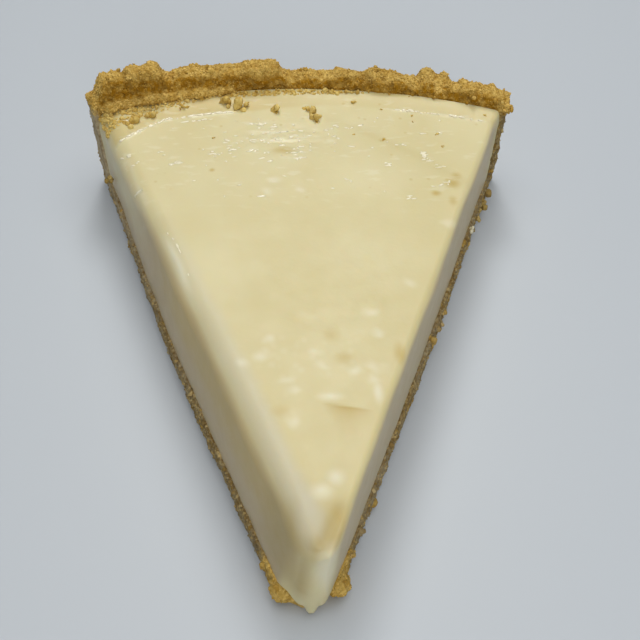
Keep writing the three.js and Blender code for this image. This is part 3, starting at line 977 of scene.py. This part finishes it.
def make_moisture(filling):
    across = rng.uniform(-0.85, 0.85, WIDE_END_BEADS)
    along = rng.uniform(73, 100, WIDE_END_BEADS)
    wide_end = np.column_stack([across * half_width(along), along])
    groups = [film_beads(*stretch) for stretch in FILM_BEADS] + [
        strewn_beads(WET_BEADS, (0.5, 0.3), 4),
        strewn_beads([LARGE_WET_BEAD], (0.22, 0.45), 18),
        strewn_beads([TORN_PATCH], (6.5, 2.8), 60),
        strewn_beads(wide_end, (0.4, 0.2), 1),
        left_edge_beads(LEFT_EDGE_BEADS),
    ]
    places, ways = (np.concatenate(parts) for parts in zip(*groups))
    rest, normals, met = surface_below(filling, places)
    count = len(rest)

    # Each bead lies along its way on the surface.
    ahead = np.column_stack([ways[met], np.zeros(count)])
    ahead = ahead - normals * np.sum(ahead * normals, axis=1, keepdims=True)
    ahead = ahead / np.linalg.norm(ahead, axis=1, keepdims=True)
    axes = np.stack([ahead, np.cross(normals, ahead), normals], axis=-1)
    halves = np.column_stack([
        np.clip(rng.lognormal(math.log(BEAD_LENGTH), BEAD_LENGTH_SPREAD, count), *BEAD_LENGTHS),
        rng.uniform(*BEAD_WIDTHS, count),
        rng.uniform(*BEAD_HEIGHTS, count),
    ])
    shape, triangles = crumb_shape(CRUMB_DETAIL)
    local = shape[None] * halves[:, None] * random_swell(count, len(shape), 0.12)
    points = np.einsum("nij,nvj->nvi", axes, local) + rest[:, None]
    return new_piece("moisture", points.reshape(-1, 3), copied_faces(triangles, len(shape), count))


# Materials

class Shader:
    """A material's node tree, with short calls for the nodes used here."""

    def __init__(self, name):
        self.material = bpy.data.materials.new(name)
        self.material.use_nodes = True
        self.nodes = self.material.node_tree.nodes
        self.links = self.material.node_tree.links
        self.surface = self.nodes["Principled BSDF"]
        self.place = self.nodes.new("ShaderNodeTexCoord").outputs["Object"]

    def fill(self, node, inputs):
        """Sets a node's inputs to values, or links them to the outputs of other nodes."""
        for name, value in inputs.items():
            socket = node.inputs[name]
            if isinstance(value, bpy.types.NodeSocket):
                self.links.new(value, socket)
            elif socket.type == "RGBA":
                socket.default_value = (*value, 1.0)
            else:
                socket.default_value = value

    def set(self, **values):
        """Fills inputs of the surface by name, with _ for a space."""
        self.fill(self.surface, {name.replace("_", " "): value for name, value in values.items()})

    def dragged(self, share):
        """Places squeezed along x, so that a texture is drawn out sideways."""
        node = self.nodes.new("ShaderNodeMapping")
        self.fill(node, {"Vector": self.place, "Scale": (share, 1.0, 1.0)})
        return node.outputs["Vector"]

    def noise(self, size_mm, detail=3.0, place=None):
        node = self.nodes.new("ShaderNodeTexNoise")
        self.fill(node, {"Vector": place or self.place, "Scale": 1 / (size_mm * MM), "Detail": detail})
        return node.outputs["Fac"]

    def cells(self, size_mm, output="Distance"):
        node = self.nodes.new("ShaderNodeTexVoronoi")
        self.fill(node, {"Vector": self.place, "Scale": 1 / (size_mm * MM)})
        return node.outputs[output]

    def painted(self, name):
        node = self.nodes.new("ShaderNodeAttribute")
        node.attribute_name = name
        return node.outputs["Fac"]

    def between(self, value, low, high, to=(0.0, 1.0)):
        """Maps the values from low to high onto the two in `to`."""
        node = self.nodes.new("ShaderNodeMapRange")
        limits = {"From Min": low, "From Max": high, "To Min": to[0], "To Max": to[1]}
        self.fill(node, {"Value": value, **limits})
        return node.outputs["Result"]

    def math(self, operation, a, b):
        node = self.nodes.new("ShaderNodeMath")
        node.operation = operation
        self.fill(node, {0: a, 1: b})
        return node.outputs["Value"]

    def mix(self, factor, a, b):
        """Colour a where the factor is 0, and b where it is 1. The colour sockets go by number."""
        node = self.nodes.new("ShaderNodeMix")
        node.data_type = "RGBA"
        self.fill(node, {"Factor": factor, 6: a, 7: b})
        return node.outputs[2]

    def layer(self, name, share, tone, colour):
        """Lays a share of a colour over a tone where a layer is painted."""
        return self.mix(self.math("MULTIPLY", self.painted(name), share), tone, colour)

    def bump(self, height, depth_mm, strength, normal=None):
        node = self.nodes.new("ShaderNodeBump")
        self.fill(node, {"Height": height, "Distance": depth_mm * MM, "Strength": strength})
        if normal is not None:
            self.fill(node, {"Normal": normal})
        return node.outputs["Normal"]


def filling_material():
    """Set custard: soft gloss, faint clouds of tone, wet where it is torn."""
    shader = Shader("custard")
    shader.set(Subsurface_Weight=0.30, Subsurface_Radius=(1.0, 0.62, 0.30), Subsurface_Scale=0.0018)
    shader.set(IOR=CUSTARD_IOR)
    clouds = shader.between(shader.noise(16, detail=2.0), 0.35, 0.65)
    tone = shader.mix(clouds, CREAM, CREAM_LIGHT)
    # Some of these layers are painted light: the warm band and the tip's dimming are painted shade, the
    # greyish edge a painted highlight; the cut, yellow and stain layers are partly painted shade, and the
    # pale layer partly painted highlights.
    shades = {"cut": CREAM_CUT, "warm_shade": CREAM_WARM_SHADE, "tip_shade": CREAM_TIP_SHADE, "grey_highlight": CREAM_GREY_HIGHLIGHT}
    shades.update(yellow=CREAM_YELLOW_AND_SHADE, stain=CREAM_STAIN_AND_SHADE, pale=CREAM_PALE_AND_HIGHLIGHT)
    for layer, colour in shades.items():
        tone = shader.mix(shader.painted(layer), tone, colour)

    # Worn custard has pale scuffs drawn out sideways and small yellow freckles.
    scuffs = shader.between(shader.noise(1.5, place=shader.dragged(0.4)), 0.58, 0.68, to=(0.0, 0.55))
    tone = shader.layer("worn", scuffs, tone, CREAM_PALE_AND_HIGHLIGHT)
    freckles = shader.between(shader.cells(2.3), 0.20, 0.08, to=(0.0, 0.6))
    some = shader.between(shader.cells(2.3, "Color"), 0.60, 0.66)
    tone = shader.layer("worn", shader.math("MULTIPLY", freckles, some), tone, CREAM_STAIN_AND_SHADE)
    dull = shader.between(shader.noise(3.0), 0.3, 0.7, to=(0.40, 0.54))
    wet = shader.math("MULTIPLY", shader.painted("wet"), 0.36)
    fine = shader.bump(shader.noise(0.9, detail=4.0), depth_mm=0.05, strength=0.5)
    broad = shader.bump(shader.noise(5.0, detail=2.0), depth_mm=0.10, strength=0.4, normal=fine)
    shader.set(Base_Color=tone, Roughness=shader.math("SUBTRACT", dull, wet), Normal=broad)
    return shader.material


def crust_material(name, per_crumb, light, middle, dark):
    """Baked crumb: grains of several browns, darker with painted shade in the seams, and darker on the
    browned wall and at the cuts.
    """
    shader = Shader(name)
    shader.set(Roughness=0.88, Specular_IOR_Level=0.25)
    shade = shader.painted("tone") if per_crumb else shader.cells(0.38, "Color")
    tone = shader.mix(shader.between(shade, 0.10, 0.85), middle, light)
    specks = shader.between(shader.noise(0.40), 0.54, 0.66, to=(0.0, 0.5))
    tone = shader.mix(specks, tone, dark)
    mottled = shader.between(shader.noise(1.5), 0.48, 0.60, to=(0.0, 0.40))
    tone = shader.mix(mottled, tone, CRUMB_BROWNED)
    speckle = shader.between(shader.noise(1.1), 0.42, 0.56, to=(0.45, 1.0))
    tone = shader.layer("browned", speckle, tone, CRUMB_BROWNED)
    cut_tone = shader.mix(shader.between(shade, 0.35, 1.0), CRUMB_CUT_DARK, CRUMB_CUT_LIGHT)
    tone = shader.layer("cut", 0.85, tone, cut_tone)
    patches = shader.between(shader.noise(0.9), 0.35, 0.60, to=(0.35, 1.0))
    tone = shader.layer("smeared", patches, tone, CREAM_SMEAR)
    tone = shader.layer("coated", 0.9, tone, CREAM_CUT)
    # Painted shade in the seams between grains.
    tone = shader.layer("seam", 0.85, tone, CRUMB_SEAM_SHADE)
    coarse = shader.bump(shader.cells(0.40), depth_mm=0.16, strength=0.8)
    fine = shader.bump(shader.noise(0.22), depth_mm=0.10, strength=0.7, normal=coarse)
    shader.set(Base_Color=tone, Normal=fine)
    return shader.material


def plain_material(name, colour, **values):
    """One colour all over, for what is small, wet or not part of the slice."""
    shader = Shader(name)
    shader.set(Base_Color=colour, **values)
    return shader.material


# Stage, light and camera

def make_floor():
    """A pale floor that sweeps up into a wall far behind the slice, on every side."""
    turns = np.linspace(0, math.pi / 2, SWEEP_RINGS)
    sweep = FLOOR_FLAT + FLOOR_SWEEP * np.sin(turns)
    radii = np.concatenate([[FLOOR_MIDDLE], sweep, [FLOOR_FLAT + FLOOR_SWEEP]])
    heights = np.concatenate([[0.0], FLOOR_SWEEP * (1 - np.cos(turns)), [WALL_TOP]])
    angles = np.linspace(0, 2 * math.pi, FLOOR_SIDES, endpoint=False)
    x = radii[:, None] * np.cos(angles)
    y = radii[:, None] * np.sin(angles) + ORIGIN_Y
    z = np.broadcast_to(heights[:, None], x.shape)
    number = np.arange(x.size).reshape(x.shape)
    beside = np.roll(number, -1, axis=1)
    faces = np.stack([number[1:], beside[1:], beside[:-1], number[:-1]], axis=-1).reshape(-1, 4)
    points = np.stack([x, y, z], axis=-1).reshape(-1, 3)
    floor = new_piece("floor", points, [number[0].tolist()] + faces.tolist())
    floor.data.materials.append(plain_material("floor", FLOOR_PALE, Roughness=0.55))


def area_light(name, place, size, power, colour):
    light = bpy.data.lights.new(name, "AREA")
    light.shape = "DISK"
    light.size = size
    light.energy = power
    light.color = colour
    lamp = bpy.data.objects.new(name, light)
    bpy.context.scene.collection.objects.link(lamp)
    lamp.location = place
    lamp.rotation_euler = (Vector((0, 0, 0)) - Vector(place)).to_track_quat("-Z", "Y").to_euler()
    lamp.visible_camera = False


def make_light():
    world = bpy.data.worlds.new("studio")
    bpy.context.scene.world = world
    world.use_nodes = True
    sky = world.node_tree.nodes["Background"]
    sky.inputs["Color"].default_value = (*SKY_COLOUR, 1.0)
    sky.inputs["Strength"].default_value = SKY_STRENGTH
    for light in LIGHTS:
        area_light(*light)


def make_camera():
    tilt, turn, roll = CAMERA_ELEVATION, CAMERA_AZIMUTH, CAMERA_ROLL
    back = Vector((math.sin(turn) * math.cos(tilt), -math.cos(turn) * math.cos(tilt), math.sin(tilt)))
    right = Vector((0, 0, 1)).cross(back).normalized()
    up = back.cross(right)
    axes = Matrix((right, up, back)).transposed() @ Matrix.Rotation(roll, 3, "Z")
    camera = bpy.data.objects.new("camera", bpy.data.cameras.new("camera"))
    bpy.context.scene.collection.objects.link(camera)
    target = Vector(to_frame(CAMERA_TARGET))
    camera.matrix_world = Matrix.Translation(target + back * CAMERA_DISTANCE * MM) @ axes.to_4x4()
    camera.data.sensor_width = SENSOR_WIDTH
    camera.data.lens = SENSOR_WIDTH * FOCAL_PIXELS / FRAME_PIXELS
    camera.data.clip_start = NEAREST_SEEN
    bpy.context.scene.camera = camera


def dress(piece, material, slot, *replaced):
    piece.data.materials.clear()
    piece.data.materials.append(material)
    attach(piece, "root")
    if replaced:
        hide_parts(*replaced)


make_camera()
make_light()
make_floor()

filling = make_filling()
crust, zones = make_crust()
stuck_on_crust = [stick_on(crust, zones, *kind) for kind in STUCK_ON_CRUST]
fallen_crumbs = make_fallen_crumbs(filling)
moisture = make_moisture(filling)
stuck_curds = make_curds()

dress(filling, filling_material(), "filling", "filling")
# The beads' near-white colour is painted highlight.
dress(moisture, plain_material("moisture", CREAM_WET_HIGHLIGHT, Roughness=0.12, IOR=CUSTARD_IOR), "filling")
dress(stuck_curds, plain_material("curd", CREAM_PALE_AND_HIGHLIGHT, Roughness=0.45, IOR=CUSTARD_IOR), "filling")
baked = (CRUMB_LIGHT, CRUMB_MIDDLE, CRUMB_DARK)
dress(crust, crust_material("baked_crumb", False, *baked), "crust", "crust")
loose_crumb = crust_material("loose_crumb", True, *baked)
for crumbs in stuck_on_crust:
    dress(crumbs, loose_crumb, "crust")
dress(fallen_crumbs, crust_material("damp_crumb", True, DAMP_LIGHT, DAMP_MIDDLE, DAMP_DARK), "crust")

bpy.context.scene.view_settings.view_transform = "Standard"
